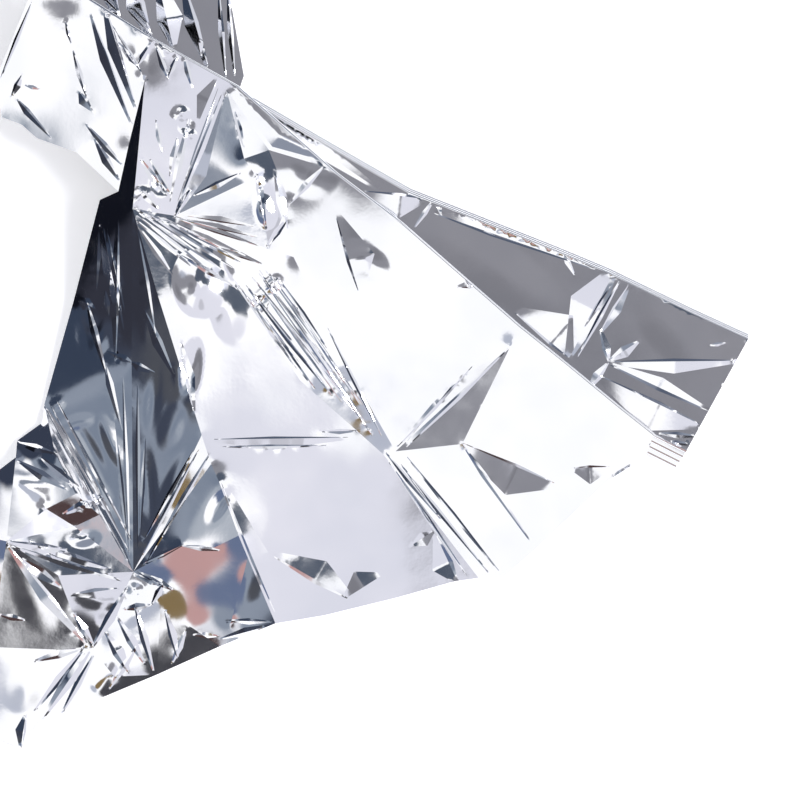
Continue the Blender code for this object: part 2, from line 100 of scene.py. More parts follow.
# Named points of the fan: x, y and the film's height there
POINTS = {
    "mouth_corner": (81.0, -18.5, 15.0),
    "mouth_upper": (68.5, -26.5, 13.5),
    "mouth_mid": (44.5, -49.5, 10.3),
    "valley_end_right": (34.0, -59.0, 6.5),
    "valley_end_left": (26.0, -59.0, 5.5),
    "panel_end_a": (18.5, -60.0, 6.2),
    "panel_end_b": (-1.5, -65.5, 8.2),
    "panel_end_c": (-25.0, -71.0, 12.0),
    "ridge_end": (-41.0, -73.5, 14.2),
    "corner_end_a": (-60.0, -82.0, 1.8),
    "corner_end_b": (-81.0, -91.5, 0.8),
    "corner_end_c": (-105.0, -101.5, 1.2),
    "corner_end_d": (-120.0, -107.0, 0.8),
    "corner_tip": (-126.0, -116.0, 0.6),
    "held_low": (-137.0, -112.0, 0.6),
    "held_mid": (-155.0, -104.0, 0.6),
    "held_outer": (-163.0, -80.0, 3.5),
    "held_high": (-160.0, -40.0, 7.5),
    "held_top": (-146.0, -26.0, 5.0),
    "corner_top_a": (-133.5, -23.5, 4.0),
    "corner_top_b": (-127.5, -19.0, 5.0),
    "corner_top_c": (-127.5, -13.5, 1.0),
    "corner_top_d": (-119.0, -7.5, 2.0),
    "kite_left": (-118.5, -1.5, 0.8),
    "kite_edge": (-108.5, 33.0, 3.0),
    "kite_top": (-99.0, 66.0, 12.0),
    "fin_foot_left": (-92.5, 68.5, 16.5),
    "flap_edge_a": (-106.5, 81.5, 13.6),
    "flap_edge_b": (-120.0, 86.5, 10.5),
    "flap_tip_a": (-125.0, 91.0, 9.5),
    "flap_tip_b": (-131.5, 93.5, 8.5),
    "flap_left": (-134.0, 105.0, 10.0),
    "flap_high": (-121.5, 133.5, 15.2),
    "pinch": (-87.5, 62.5, 20.0),
    "fin_apex": (-83.5, 105.0, 19.6),
    "fin_mid": (-89.0, 84.0, 17.0),
    "second_pinch": (-74.0, 60.5, 16.5),
    "ridge_a": (-79.0, 33.5, 20.5),
    "ridge_b": (-65.0, -11.5, 18.5),
    "ridge_c": (-59.5, -26.5, 17.5),
    "kite_star": (-88.5, 12.5, 12.0),
    "kite_low": (-88.5, -57.0, 5.0),
    "kite_low_right": (-80.0, -41.5, 10.4),
    "valley_a": (-50.0, 33.5, 14.0),
    "valley_b": (-33.0, 6.5, 11.8),
    "valley_c": (-5.5, -18.0, 7.6),
    "swell_a": (-35.0, 47.0, 15.0),
    "swell_b": (-18.0, 12.0, 13.2),
    "valley_d": (-1.5, -17.0, 7.9),
    "knot": (-57.0, 102.0, 15.4),
    "crest_a": (-28.0, 77.5, 17.0),
    "crest_b": (-43.0, 82.0, 17.6),
    "crest_c": (-51.0, 79.0, 20.0),
    "crest_d": (-64.0, 82.5, 15.6),
    "crest_e": (-47.0, 73.0, 20.4),
    "crest_f": (-36.5, 65.5, 17.2),
    "crest_g": (-43.0, 49.5, 16.0),
    "spear_tip": (36.5, 18.0, 15.0),
    "spear_base": (20.5, -14.5, 12.1),
    "star_held": (-129.5, -46.5, 14.0),
    "star_low": (-102.5, -82.5, 3.0),
    "wave_a": (-72.0, -48.0, 12.5),
    "wave_b": (-61.0, -48.5, 14.5),
    "wave_top": (-62.0, -21.0, 17.0),
    "valley_m": (-15.0, -9.5, 8.6),
    "lens_mid": (-40.0, -14.5, 13.4),
    "wave_c": (-53.0, -44.5, 17.2),
    "loop": (-79.0, -63.0, 6.8),
    "pink_low": (-70.0, -75.0, 4.2),
    "lens_low": (-56.0, -74.0, 8.5),
    "eye_left": (-117.0, -36.0, 9.0),
    "eye_top": (-107.0, -31.0, 11.5),
    "eye_right": (-99.5, -38.0, 8.5),
    "eye_low": (-108.0, -42.0, 5.0),
    "sweep": (-114.0, -17.5, 9.5),
    "grey_mid": (-113.0, -58.0, 9.5),
    "quad_low": (-113.0, -83.0, 3.2),
    "quad_left": (-136.0, -82.0, 4.6),
    "leaf": (-109.0, -69.0, 7.0),
    "dark_tip": (-97.0, -75.0, 4.5),
    "facet_low": (-95.0, -92.0, 2.6),
    "stripe_a": (-58.0, 55.5, 16.4),
    "pink_mid": (-66.0, -61.0, 8.6),
    "pink_left": (-79.0, -58.0, 7.2),
    "blue_top": (-61.0, -55.0, 11.9),
    "ridge_m": (-50.0, -51.8, 16.1),
}

# Outline of the fan from the mouth's end of the fan line to the hidden end
OUTLINE = (
    "mouth_corner", "mouth_upper", "mouth_mid", "valley_end_right", "valley_end_left",
    "panel_end_a", "panel_end_b", "panel_end_c", "ridge_end", "corner_end_a",
    "corner_end_b", "corner_end_c", "corner_end_d", "corner_tip", "held_low",
    "held_mid", "held_outer", "held_high", "held_top", "corner_top_a", "corner_top_b",
    "corner_top_c", "corner_top_d", "kite_left", "kite_edge", "kite_top",
    "fin_foot_left", "flap_edge_a", "flap_edge_b", "flap_tip_a", "flap_tip_b",
    "flap_left", "flap_high",
)

# Creases of the fan, each a chain of named points
CREASES = (
    ("pinch", "ridge_a", "ridge_b", "wave_top", "ridge_c", "wave_c", "ridge_m", "ridge_end"),
    ("pinch", "valley_a", "valley_b", "valley_m", "valley_c", "valley_end_left"),
    ("second_pinch", "stripe_a", "crest_g", "swell_a", "swell_b", "valley_d", "valley_end_right"),
    ("pinch", "kite_star", "kite_low"),
    ("kite_left", "kite_low"),
    ("ridge_b", "kite_low_right", "kite_low"),
    ("wave_top", "kite_low"),
    ("fin_foot_left", "fin_mid", "fin_apex", "pinch"),
    ("fin_foot_left", "pinch", "second_pinch"),
    ("second_pinch", "crest_d", "knot"),
    ("second_pinch", "crest_e", "crest_c", "knot"),
    ("knot", "crest_b", "crest_a"),
    ("crest_b", "crest_c"),
    ("crest_a", "crest_f", "crest_g"),
    ("crest_b", "crest_f"),
    ("crest_e", "crest_g"),
    ("valley_d", "spear_tip", "spear_base", "valley_d"),
    ("kite_low", "wave_a", "wave_b", "wave_c"),
    ("kite_low", "loop", "corner_end_b"),
    ("ridge_m", "lens_low"),
    ("pink_low", "corner_end_a"),
    ("kite_low", "eye_low", "star_held"),
    ("kite_low", "grey_mid", "star_held"),
    ("eye_low", "eye_left", "eye_top", "eye_right", "eye_low"),
    ("eye_top", "sweep", "corner_top_c"),
    ("sweep", "kite_left"),
    ("eye_right", "kite_low"),
    ("star_held", "eye_left"),
    ("star_held", "star_low"),
    ("grey_mid", "leaf", "star_low"),
    ("quad_low", "quad_left"),
    ("quad_low", "star_low"),
    ("quad_low", "corner_end_d"),
    ("kite_low", "dark_tip", "star_low"),
    ("leaf", "kite_low"),
    ("star_low", "facet_low", "corner_end_b"),
    ("star_low", "corner_end_c"),
    ("star_held", "corner_top_b"),
    ("star_held", "quad_left"),
    ("star_held", "held_high"),
)

# Chains where the film bends softly, with no crease
SOFT_CREASES = (
    ("kite_left", "kite_star", "ridge_b"),
    ("ridge_b", "lens_mid", "valley_m"),
    ("wave_a", "blue_top"),
    ("kite_low", "pink_left", "pink_mid", "blue_top", "ridge_m"),
    ("loop", "pink_low", "pink_mid", "lens_low", "ridge_end"),
)

# Folds of the fan's panels. A fold rises from its start to its peak, a share of its length,
# and falls to its end, and its two sides widen with it. Below zero it is a trough.
# from x, from y, to x, to y, height, width to the left, width to the right, peak
FAN_FOLDS = (
    (-104.0, 33.0, -97.0, 8.0, 0.5, 1.2, 1.5, 0.4),
    (-97.5, 12.0, -92.0, -10.0, 0.2, 1.2, 1.5, 0.3),
    (-97.5, 36.5, -96.3, 27.5, 0.22, 1.2, 1.0, 0.5),
    (-99.0, 62.0, -91.0, 22.0, 0.33, 1.5, 3.0, 0.5),
    (-97.0, 57.0, -90.5, 28.0, 0.22, 1.0, 2.0, 0.5),
    (-107.0, 34.0, -101.0, 30.0, 0.5, 2.0, 2.5, 0.5),
    (-88.5, 12.5, -80.5, 9.0, 0.4, 1.0, 2.0, 0.3),
    (-88.5, 12.5, -97.0, 16.0, 0.28, 1.0, 1.5, 0.3),
    (-91.5, 9.0, -89.8, -52.0, 0.13, 0.9, 0.9, 0.5),
    (-86.5, 5.0, -86.8, -50.0, 0.15, 0.9, 0.9, 0.4),
    (-94.5, -6.0, -90.2, -50.0, -0.1, 0.8, 0.9, 0.5),
    (-84.0, -12.0, -86.2, -46.0, -0.1, 0.8, 0.9, 0.5),
    (-117.5, -3.5, -90.5, -53.0, 0.45, 0.7, 0.7, 0.5),
    (-116.5, -1.5, -89.5, -51.0, 0.45, 0.7, 0.7, 0.5),
    (-114.5, 0.5, -88.8, -47.0, -0.4, 0.8, 0.8, 0.5),
    (-66.0, -16.0, -86.0, -53.0, 0.45, 0.8, 0.8, 0.5),
    (-67.5, -16.0, -84.5, -46.0, 0.4, 0.8, 0.8, 0.5),
    (-62.0, -17.0, -84.0, -54.0, 0.5, 0.8, 1.2, 0.4),
    (-86.5, 58.0, -74.5, 41.0, 0.25, 1.2, 1.2, 0.6),
    (-99.5, 58.0, -100.5, 36.0, 0.33, 1.2, 3.5, 0.5),
    (-92.5, 60.0, -94.0, 14.0, 0.33, 1.0, 2.6, 0.5),
    (-86.0, 56.0, -80.0, 20.0, 0.28, 1.0, 2.6, 0.5),
    (-84.0, 30.0, -74.0, 8.0, 0.28, 1.2, 2.4, 0.5),
    (-72.0, 19.0, -67.5, -4.0, -1.0, 2.6, 1.0, 0.5),
    (-62.0, -13.0, -17.0, -12.4, 0.55, 0.75, 3.6, 0.45),
    (-59.0, -15.4, -24.0, -15.0, 0.4, 0.6, 0.9, 0.45),
    (-26.0, -10.4, -14.0, -10.2, -0.4, 0.8, 1.0, 0.5),
    (-87.0, 59.5, -68.0, 43.5, 0.3, 0.9, 1.0, 0.5),
    (-86.0, 60.5, -62.0, 42.0, 0.28, 0.8, 0.9, 0.5),
    (-84.0, 60.5, -58.0, 42.5, -0.25, 0.7, 0.8, 0.4),
    (-82.0, 60.5, -55.0, 43.5, 0.3, 0.8, 0.9, 0.5),
    (-80.0, 60.5, -52.0, 45.0, 0.22, 0.7, 0.8, 0.6),
    (-78.0, 60.0, -56.0, 48.0, -0.25, 0.7, 0.8, 0.5),
    (-77.0, 59.0, -50.0, 47.0, 0.3, 1.2, 0.5, 0.5),
    (-75.5, 60.2, -46.0, 50.5, 0.32, 1.4, 0.5, 0.5),
    (-73.0, 59.5, -47.0, 53.5, 0.32, 1.5, 0.5, 0.5),
    (-70.0, 60.5, -48.0, 57.0, 0.3, 1.6, 0.5, 0.5),
    (-60.0, 50.0, -45.0, 44.5, 0.3, 1.4, 0.5, 0.5),
    (-52.0, 36.5, -34.0, 10.0, 0.3, 0.6, 0.7, 0.5),
    (-50.0, 37.5, -24.0, 4.0, -0.3, 0.6, 0.6, 0.5),
    (-47.0, 42.5, -14.0, -5.0, 0.3, 0.6, 0.6, 0.5),
    (-44.5, 43.0, -16.0, 4.0, 0.35, 0.6, 0.7, 0.4),
    (-43.0, 42.0, -12.0, -2.0, -0.3, 0.6, 0.6, 0.5),
    (-72.0, 47.5, -54.0, 37.0, 0.9, 1.0, 1.0, 0.5),
    (-54.0, 38.0, -28.0, 3.5, -0.8, 1.2, 1.2, 0.5),
    (-51.0, 38.0, -22.0, 1.0, 0.8, 1.0, 1.0, 0.5),
    (-49.0, 41.0, -10.0, -10.0, -0.7, 0.9, 0.9, 0.5),
    (-46.5, 43.0, -9.0, -12.0, 0.7, 0.9, 0.9, 0.5),
    (-40.0, 40.0, -24.0, 17.0, -0.5, 0.8, 0.8, 0.5),
    (-55.0, 40.0, -33.0, 12.0, 0.22, 0.5, 0.6, 0.5),
    (-45.5, 36.0, -19.0, -1.0, 0.22, 0.5, 0.5, 0.5),
    (-41.5, 36.0, -20.0, 7.0, 0.22, 0.5, 0.6, 0.5),
    (-37.0, 31.0, -17.0, 1.0, -0.22, 0.5, 0.5, 0.5),
    (-34.0, 30.0, -13.0, -2.0, 0.22, 0.5, 0.6, 0.5),
    (-31.0, 22.0, -11.0, -8.0, -0.22, 0.5, 0.5, 0.5),
    (-24.0, 24.0, -6.0, -12.0, 0.5, 0.7, 0.7, 0.5),
    (-42.0, -51.0, -16.0, -66.0, 0.8, 7.0, 1.4, 0.55),
    (-58.6, -27.0, -41.0, -70.0, 0.55, 5.5, 0.9, 0.6),
    (-18.0, -65.5, -6.0, -58.0, 0.6, 6.0, 1.2, 0.5),
    (4.0, -48.0, 11.0, -43.5, -0.5, 2.0, 3.0, 0.5),
    (12.0, -45.0, 19.0, -60.0, -0.8, 1.5, 6.0, 0.6),
    (-5.0, -17.0, 14.0, -40.0, 0.7, 0.8, 1.0, 0.4),
    (-4.0, -20.0, 22.0, -58.0, -0.6, 0.8, 0.8, 0.5),
    (0.0, -21.0, 30.0, -58.0, 0.7, 0.8, 0.9, 0.4),
    (2.0, -18.5, 33.0, -57.0, -0.5, 0.8, 0.8, 0.5),
    (-21.0, 60.5, -13.5, 35.5, 1.1, 8.5, 1.0, 0.6),
    (36.5, 18.0, 2.0, -15.5, 0.9, 1.2, 4.0, 0.5),
    (24.0, 11.5, -1.0, -15.5, 0.5, 1.0, 1.2, 0.5),
    (18.5, 37.0, 28.0, 37.5, 0.38, 2.3, 0.6, 0.5),
    (20.5, -14.2, 51.0, -27.5, -1.4, 0.9, 10.0, 0.6),
    (20.5, -14.5, 44.0, -48.0, 0.4, 1.0, 1.0, 0.3),
    (57.0, -22.5, 69.0, -22.0, -0.65, 0.8, 5.5, 0.45),
    (40.0, 26.0, 58.0, 13.0, 0.35, 0.6, 0.6, 0.5),
    (58.0, 13.0, 84.0, -8.5, 0.35, 0.6, 0.6, 0.5),
    (68.0, -27.0, 76.0, -21.0, 0.4, 0.7, 1.0, 0.5),
    (-60.0, 105.5, -66.0, 91.5, 0.45, 0.9, 4.0, 0.5),
    (-73.6, 61.5, -58.3, 101.0, 0.75, 1.1, 5.0, 0.35),
    (-73.5, 63.5, -59.5, 103.0, 0.25, 0.6, 0.6, 0.5),
    (-74.0, 60.0, -68.5, 69.5, 1.3, 1.6, 0.9, 0.5),
    (-87.5, 63.0, -77.5, 58.5, 0.5, 1.0, 1.0, 0.5),
    (-86.0, 70.0, -79.0, 62.5, 0.6, 1.0, 1.4, 0.5),
    (-93.0, 118.0, -86.0, 109.5, 0.9, 1.0, 1.2, 0.7),
    (-86.0, 109.5, -80.0, 119.0, 0.9, 1.2, 1.0, 0.3),
    (-80.0, 116.0, -76.0, 105.5, 0.9, 1.0, 1.2, 0.6),
    (-76.0, 105.5, -72.5, 114.0, 0.8, 1.0, 1.0, 0.4),
    (-71.0, 114.0, -68.0, 102.0, 0.7, 0.9, 1.2, 0.5),
    (-80.0, 92.0, -78.0, 81.0, 0.5, 0.8, 1.0, 0.5),
    (-85.0, 79.0, -76.5, 67.0, -0.9, 1.2, 1.6, 0.5),
    (-82.0, 79.0, -75.0, 67.5, 0.8, 1.0, 1.2, 0.5),
    (-73.0, 86.0, -75.5, 73.0, 0.6, 1.0, 1.4, 0.5),
    (-69.0, 93.0, -75.5, 64.0, 0.7, 1.2, 1.5, 0.5),
    (-54.5, 95.5, -51.0, 82.5, -0.6, 1.0, 1.2, 0.5),
    (-68.0, 67.0, -52.0, 74.5, 0.6, 1.0, 1.4, 0.5),
    (-56.0, 103.5, -27.5, 80.5, -1.0, 1.0, 7.0, 0.65),
    (-47.0, 74.5, -44.0, 56.5, -0.8, 1.4, 1.0, 0.3),
    (-41.0, 74.0, -37.0, 56.0, 0.6, 1.6, 1.6, 0.5),
    (-36.5, 60.0, -44.0, 50.0, -0.7, 1.0, 1.4, 0.5),
    (-25.0, 76.5, -36.0, 64.5, 0.6, 1.0, 1.6, 0.5),
    (-101.5, 127.0, -88.0, 90.5, 0.9, 0.6, 2.6, 0.4),
    (-97.0, 130.0, -86.5, 95.5, 1.1, 0.8, 3.3, 0.4),
    (-94.0, 122.5, -84.5, 107.0, 0.6, 0.8, 0.8, 0.6),
    (-107.5, 115.0, -103.0, 99.5, 0.9, 0.9, 1.2, 0.5),
    (-105.5, 101.5, -101.0, 95.0, 0.6, 1.0, 2.4, 0.4),
    (-100.5, 86.0, -92.0, 72.0, 0.8, 1.0, 2.0, 0.5),
    (-110.0, 124.5, -108.0, 117.0, 0.4, 0.6, 0.8, 0.5),
    (-103.5, 91.0, -91.0, 77.0, 0.6, 1.0, 1.6, 0.5),
    (-126.5, 99.5, -115.0, 86.5, 0.7, 0.8, 1.6, 0.3),
    (-124.0, 104.0, -118.5, 102.5, 0.3, 0.6, 0.8, 0.5),
    (-121.0, 131.0, -132.0, 106.0, 0.5, 0.8, 0.8, 0.5),
    (-128.5, 100.0, -124.5, 107.5, 0.5, 1.0, 1.4, 0.5),
    (-129.5, -46.5, -110.0, -49.5, 1.0, 1.0, 2.6, 0.6),
    (-120.0, -48.0, -96.0, -56.0, 1.0, 1.2, 2.2, 0.5),
    (-129.0, -47.5, -92.0, -60.0, 0.8, 1.0, 1.6, 0.5),
    (-125.0, -52.0, -112.0, -62.0, -0.9, 1.6, 2.2, 0.5),
    (-129.0, -48.0, -104.0, -81.0, 1.2, 1.0, 3.2, 0.5),
    (-133.0, -71.0, -124.0, -73.0, 0.6, 1.2, 1.2, 0.5),
    (-122.0, -87.0, -105.0, -82.5, 0.8, 1.8, 1.2, 0.5),
    (-124.5, -104.5, -126.3, -116.0, 1.4, 0.8, 2.8, 0.5),
    (-108.0, -71.0, -102.0, -81.0, 0.9, 1.5, 1.5, 0.5),
    (-102.5, -82.5, -90.5, -62.0, 1.0, 1.5, 2.0, 0.5),
    (-103.0, -83.0, -119.0, -106.0, 1.0, 2.0, 2.5, 0.4),
    (-104.5, -82.0, -122.0, -104.0, -0.8, 1.2, 1.6, 0.5),
    (-101.5, -84.0, -113.0, -105.0, 0.7, 1.2, 1.2, 0.5),
    (-88.0, -68.0, -82.0, -90.5, 1.0, 1.4, 1.4, 0.5),
    (-98.0, -77.0, -90.0, -91.0, 0.9, 2.6, 1.6, 0.5),
    (-94.0, -72.0, -85.0, -88.0, 0.8, 2.0, 1.4, 0.5),
    (-78.0, -70.0, -74.0, -86.0, 0.7, 2.0, 1.0, 0.5),
    (-88.0, -58.0, -78.5, -61.0, 0.9, 1.2, 1.5, 0.6),
    (-78.5, -61.0, -82.5, -68.0, 0.8, 1.4, 1.2, 0.4),
    (-82.5, -68.0, -92.0, -69.5, 0.8, 1.2, 1.5, 0.5),
    (-87.0, -57.0, -75.0, -63.0, 0.9, 1.6, 1.2, 0.6),
    (-127.0, -20.0, -110.0, -29.5, 0.9, 1.5, 1.8, 0.5),
    (-119.0, -19.0, -106.0, -29.0, -0.8, 1.4, 1.6, 0.5),
    (-128.0, -14.0, -114.0, -17.5, 0.7, 1.2, 1.6, 0.5),
    (-112.0, -38.0, -101.0, -33.0, 0.8, 1.6, 1.6, 0.6),
    (-109.0, -64.5, -93.0, -62.5, 0.7, 1.2, 2.4, 0.5),
    (-60.0, -79.5, -42.0, -74.0, 0.7, 1.6, 1.2, 0.5),
    (-58.0, -73.0, -42.0, -73.0, 0.6, 1.0, 1.2, 0.5),
    (-97.0, -96.5, -87.0, -81.0, 0.5, 1.2, 1.4, 0.5),
    (-76.0, -88.0, -71.0, -76.0, 0.5, 1.2, 1.4, 0.5),
    (-86.0, -54.5, -71.0, -47.5, 0.5, 1.0, 1.0, 0.5),
    (-72.0, -48.0, -59.0, -49.5, 0.5, 1.0, 1.0, 0.5),
    (-69.0, -78.0, -60.0, -78.5, 0.5, 1.2, 1.0, 0.5),
)

# Folds of the top pleat, with the same columns
PLEAT_FOLDS = (
    (-56.0, 103.0, -7.0, 69.5, -0.6, 3.5, 3.0, 0.5),
    (71.5, 43.5, 56.0, 14.0, -1.2, 3.5, 9.0, 0.45),
    (73.5, 41.0, 58.5, 14.0, 0.5, 1.0, 0.8, 0.5),
    (11.5, 67.5, 13.5, 61.0, -0.6, 1.4, 0.6, 0.5),
    (11.0, 62.0, 66.0, 42.8, -0.85, 4.6, 1.1, 0.35),
    (38.0, 29.0, 56.0, 14.0, -1.4, 11.5, 1.0, 0.66),
    (70.0, 38.0, 61.0, 24.0, 0.3, 0.7, 0.9, 0.5),
    (-12.0, 69.0, 8.0, 66.5, 0.95, 1.0, 7.5, 0.62),
    (12.0, 67.5, 4.5, 56.5, 0.2, 0.9, 0.9, 0.5),
    (54.0, 49.0, 58.0, 41.0, 0.4, 0.8, 1.2, 0.4),
    (76.0, 38.5, 66.0, 22.0, -0.6, 2.4, 0.8, 0.5),
    (76.0, 39.0, 92.0, 32.0, -0.6, 3.4, 0.8, 0.5),
    (88.0, 34.0, 114.0, 22.5, -0.6, 3.0, 0.8, 0.5),
    (69.0, 12.5, 112.0, 13.0, 0.8, 1.0, 4.0, 0.5),
    (69.0, 12.0, 102.0, -3.5, -0.8, 3.4, 1.2, 0.5),
    (69.0, 12.5, 62.0, 3.0, 0.5, 1.2, 2.0, 0.5),
    (69.0, 12.5, 66.0, 24.0, 0.5, 1.0, 2.0, 0.4),
    (66.0, 8.0, 99.0, -8.0, 1.05, 1.0, 9.5, 0.6),
    (85.0, -11.0, 98.5, -12.0, 0.5, 1.0, 1.2, 0.5),
    (86.0, -13.5, 97.5, -14.8, 0.4, 0.8, 1.0, 0.5),
    (69.0, 13.0, 79.0, 19.5, 0.6, 1.6, 2.4, 0.5),
    (102.0, 18.0, 108.0, 19.0, 0.2, 0.6, 0.8, 0.5),
)

# Folds of the flap, with the same columns
FLAP_FOLDS = (
    (-72.5, 140.0, -64.0, 111.0, 1.9, 1.2, 3.6, 0.5),
    (-81.0, 141.0, -75.5, 117.5, 2.0, 5.5, 3.4, 0.6),
    (-90.0, 143.0, -83.0, 121.0, 2.6, 1.6, 5.0, 0.5),
    (-98.5, 144.0, -93.0, 125.0, 1.8, 1.4, 3.4, 0.5),
    (-60.5, 138.0, -58.0, 107.0, 0.9, 0.8, 1.3, 0.5),
    (-57.5, 138.0, -55.0, 107.5, 0.9, 0.8, 1.3, 0.5),
    (-65.0, 124.0, -66.0, 114.0, -0.9, 1.2, 1.6, 0.5),
)

# Dents of the fan's panels, and bulges where the height is above zero
# x, y, height, half length, half width, turn of the length from +X
DENTS = (
    (-99.0, 20.0, 0.25, 9.0, 3.5, 75.0),
    (-105.5, 21.0, -0.28, 9.0, 3.5, 100.0),
    (-114.0, -1.5, 0.28, 4.0, 2.2, 30.0),
    (-107.0, -7.5, 0.22, 8.0, 3.0, 15.0),
    (-95.5, -14.0, 0.32, 12.0, 3.0, 112.0),
    (-99.5, -30.0, 0.22, 12.0, 2.6, 117.0),
    (-103.0, -16.0, -0.22, 13.0, 3.2, 120.0),
    (-75.0, -9.0, 0.32, 10.0, 5.0, 70.0),
    (-81.0, 0.0, -0.2, 14.0, 3.2, 82.0),
    (-83.0, -28.0, -0.22, 17.0, 3.0, 94.0),
    (-74.5, -27.0, 0.25, 13.0, 3.2, 66.0),
    (-91.5, -30.0, 0.16, 20.0, 2.4, 92.0),
    (-72.0, 6.0, 0.22, 9.0, 3.0, 105.0),
    (-83.5, 30.0, 0.22, 14.0, 2.8, 90.0),
    (-95.0, 44.0, 0.28, 13.0, 3.5, 108.0),
    (-69.0, 9.0, -0.7, 13.0, 4.0, 80.0),
    (-65.5, 39.0, 1.6, 13.0, 10.0, 100.0),
    (-56.0, 29.0, 0.5, 12.0, 7.0, 102.0),
    (-11.0, 45.0, 0.5, 10.0, 7.0, 140.0),
    (-33.0, 76.0, 0.8, 15.0, 10.0, 335.0),
    (-122.0, -27.0, 0.39, 8.0, 3.5, 340.0),
    (-104.0, -35.5, 0.9, 3.5, 3.0, 30.0),
    (-105.0, -46.0, -0.6, 6.0, 3.0, 10.0),
    (-121.0, -66.0, -0.15, 14.0, 7.0, 290.0),
    (-124.0, -95.0, 0.3, 11.0, 8.0, 70.0),
    (-98.0, -92.0, 0.4, 7.0, 5.0, 60.0),
    (-97.0, -71.0, -0.35, 6.0, 4.0, 60.0),
    (-101.0, -66.0, 0.35, 8.0, 3.5, 350.0),
    (-88.0, -63.0, 0.45, 3.5, 3.0, 0.0),
    (-50.0, -60.0, -0.3, 9.0, 5.0, 80.0),
    (-60.0, -35.0, -0.45, 8.0, 3.5, 60.0),
    (-72.0, 94.0, 0.5, 3.5, 2.5, 20.0),
    (-70.0, 90.0, -0.4, 3.0, 2.0, 40.0),
    (-69.0, 87.0, 0.35, 2.5, 2.0, 0.0),
    (-85.0, 66.5, 0.7, 4.5, 3.0, 40.0),
    (-79.0, 70.0, -0.6, 4.0, 2.5, 120.0),
    (-44.0, 62.0, 0.9, 7.0, 3.5, 100.0),
    (-42.0, 38.0, 0.8, 4.0, 3.0, 50.0),
    (-46.0, 32.0, -0.8, 3.5, 2.5, 40.0),
    (-77.0, 116.0, 0.5, 4.0, 3.0, 70.0),
)

# Dents of the top pleat, with the same columns
PLEAT_DENTS = (
    (30.0, 44.0, 0.22, 34.0, 11.0, 325.0),
    (92.0, 22.0, 0.2, 18.0, 10.0, 320.0),
)

# Free outline of the flap that runs out of the stack's lowest pleat, with its heights
FLAP_OUTLINE = (
    (-113.0, 147.0, 0.6),
    (-104.0, 160.0, 0.6),
    (-80.0, 163.0, 2.5),
    (-59.5, 158.0, 0.6),
    (-56.5, 133.5, 0.6),
    (-52.0, 108.0, 0.6),
)

# Camera, straight above the film, and the width that its picture takes in on the floor
CAMERA_HEIGHT = 1.1
PICTURE_WIDTH = 0.2667
SENSOR = 36.0

# Rubbed patches and tint of the film: noise scale per metre and its detail, the roughness of
# bright and of rubbed film, and the two tints
RUBBED_PATCHES = (90.0, 4.0)
TINT_PATCHES = (35.0, 2.0)
ROUGHNESS = (0.045, 0.11)
TINTS = ((0.94, 0.94, 0.96), (0.87, 0.88, 0.91))
# Part of the noise that is stretched over the whole range
NOISE_SPAN = (0.35, 0.65)
# Soft swells and fine crinkle: noise scale per metre, detail, depth in metres
BUMPS = (
    (60.0, 0.5, 0.00016),
    (700.0, 1.0, 0.000004),
)

# Studio panels and flags round the film: tilt from straight up, compass direction counted
# from +X towards +Y, angle of the full panel, angle where it has faded, colour
STUDIO_WALL = (0.8, 0.81, 0.86)
PANELS = (
    (0.0, 0.0, 46.0, 62.0, (1.12, 1.12, 1.14)),
    (46.0, 325.6, 28.5, 31.5, (0.8, 0.8, 0.88)),
    (46.6, 15.0, 8.0, 12.0, (0.78, 0.8, 0.9)),
    (12.6, 353.2, 8.0, 9.6, (0.8, 0.8, 0.88)),
    (27.0, 321.0, 3.5, 5.5, (0.58, 0.58, 0.64)),
    (19.4, 124.5, 7.0, 9.0, (0.5, 0.53, 0.62)),
    (24.0, 253.5, 3.2, 4.6, (0.5, 0.53, 0.62)),
    (70.0, 90.0, 34.0, 40.0, (0.28, 0.31, 0.38)),
    (90.0, 95.0, 36.0, 44.0, (0.1, 0.12, 0.17)),
    (90.0, 184.0, 54.0, 61.0, (0.27, 0.31, 0.38)),
    (90.0, 188.0, 38.0, 43.0, (0.05, 0.06, 0.09)),
    (72.0, 192.0, 6.0, 16.0, (0.035, 0.037, 0.052)),
    (55.0, 203.0, 3.0, 9.0, (0.08, 0.085, 0.1)),
    (53.4, 167.0, 11.5, 14.0, (0.04, 0.055, 0.09)),
    (76.0, 171.0, 12.0, 18.0, (0.006, 0.007, 0.012)),
    (36.0, 199.0, 1.0, 7.0, (0.42, 0.46, 0.52)),
    (44.0, 196.0, 0.0, 5.0, (0.2, 0.24, 0.31)),
    (30.0, 143.0, 5.0, 7.5, (0.26, 0.29, 0.35)),
    (72.0, 140.0, 16.0, 24.0, (0.04, 0.05, 0.08)),
    (47.0, 243.0, 8.0, 12.0, (0.55, 0.33, 0.32)),
    (33.0, 247.7, 5.4, 6.6, (0.24, 0.17, 0.08)),
    (42.0, 221.0, 6.5, 9.5, (0.14, 0.18, 0.29)),
    (75.0, 262.0, 14.0, 20.0, (0.08, 0.05, 0.05)),
    (33.0, 283.0, 8.0, 11.0, (0.06, 0.06, 0.07)),
    (8.5, 64.0, 8.5, 11.5, (0.28, 0.28, 0.31)),
    (10.0, 150.0, 5.0, 8.0, (0.28, 0.28, 0.31)),
    (4.5, 333.0, 4.6, 6.6, (0.28, 0.28, 0.31)),
    (4.0, 45.0, 0.0, 6.0, (0.22, 0.22, 0.245)),
    (29.5, 41.5, 8.3, 9.6, (0.09, 0.11, 0.15)),
    (21.3, 41.2, 5.0, 6.2, (0.09, 0.11, 0.15)),
    (32.3, 21.8, 5.0, 6.2, (0.09, 0.11, 0.15)),
    (37.4, 15.5, 4.0, 5.2, (0.09, 0.11, 0.15)),
    (21.7, 179.5, 2.8, 4.0, (0.28, 0.28, 0.31)),
)

